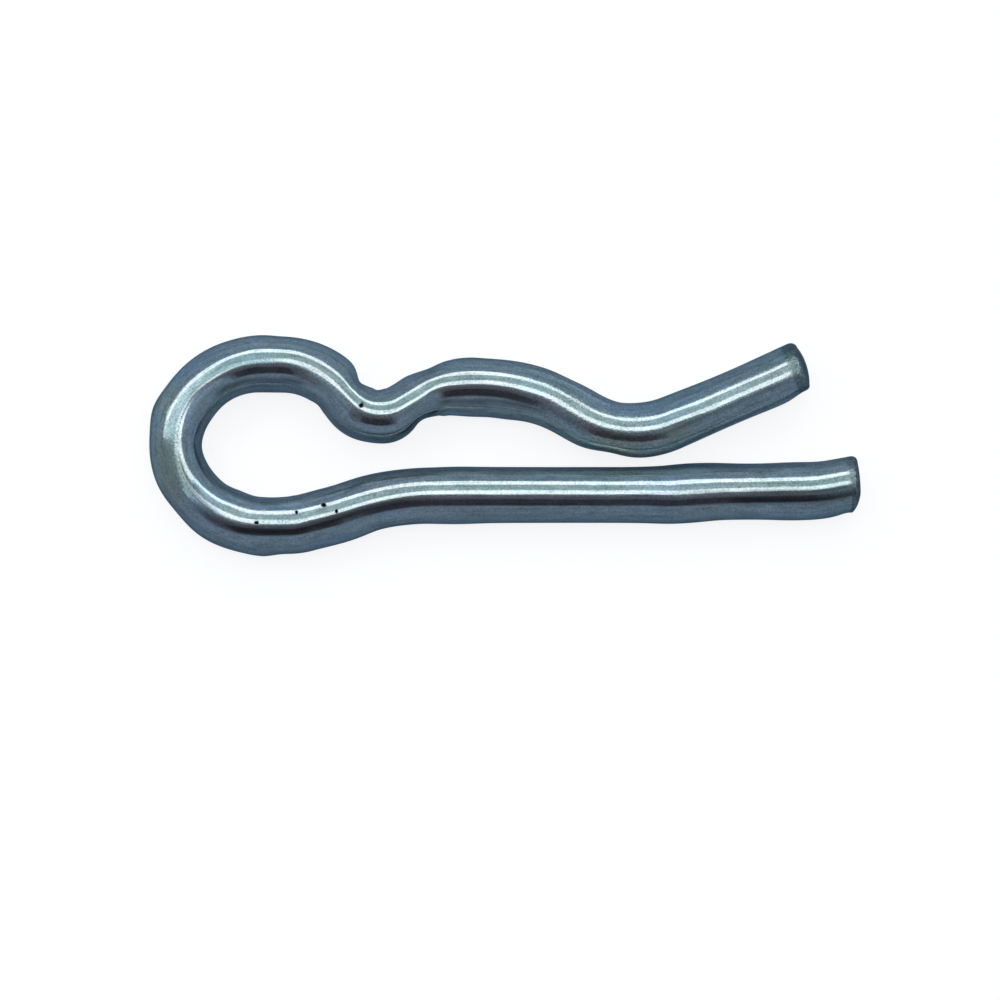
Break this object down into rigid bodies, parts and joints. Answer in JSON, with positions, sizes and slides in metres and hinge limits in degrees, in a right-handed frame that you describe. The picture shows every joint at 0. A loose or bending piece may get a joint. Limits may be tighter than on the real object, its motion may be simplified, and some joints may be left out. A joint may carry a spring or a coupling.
{
  "type": "brake pad pin",
  "caption": "Spring wire clip with a straight leg, a round eye and a waved arm, which locks a brake pad's pin in its caliper.",
  "frame": {"origin": "where the pad pin's axis meets the plane the clip rests on; the axis crosses the straight leg's centreline 1 mm above it", "axes": "+X along the straight leg to its tip, +Y from the leg to the waved arm, +Z along the pad pin, up from the plane the clip rests on"},
  "size_m": [0.0255, 0.0077, 0.002],
  "materials": {
    "zinc_plated_steel": "bright blue zinc plate with fine drawing grain and a few pits"
  },
  "bodies": {
    "root": {"wire_clip": "zinc_plated_steel"}
  },
  "joints": []
}
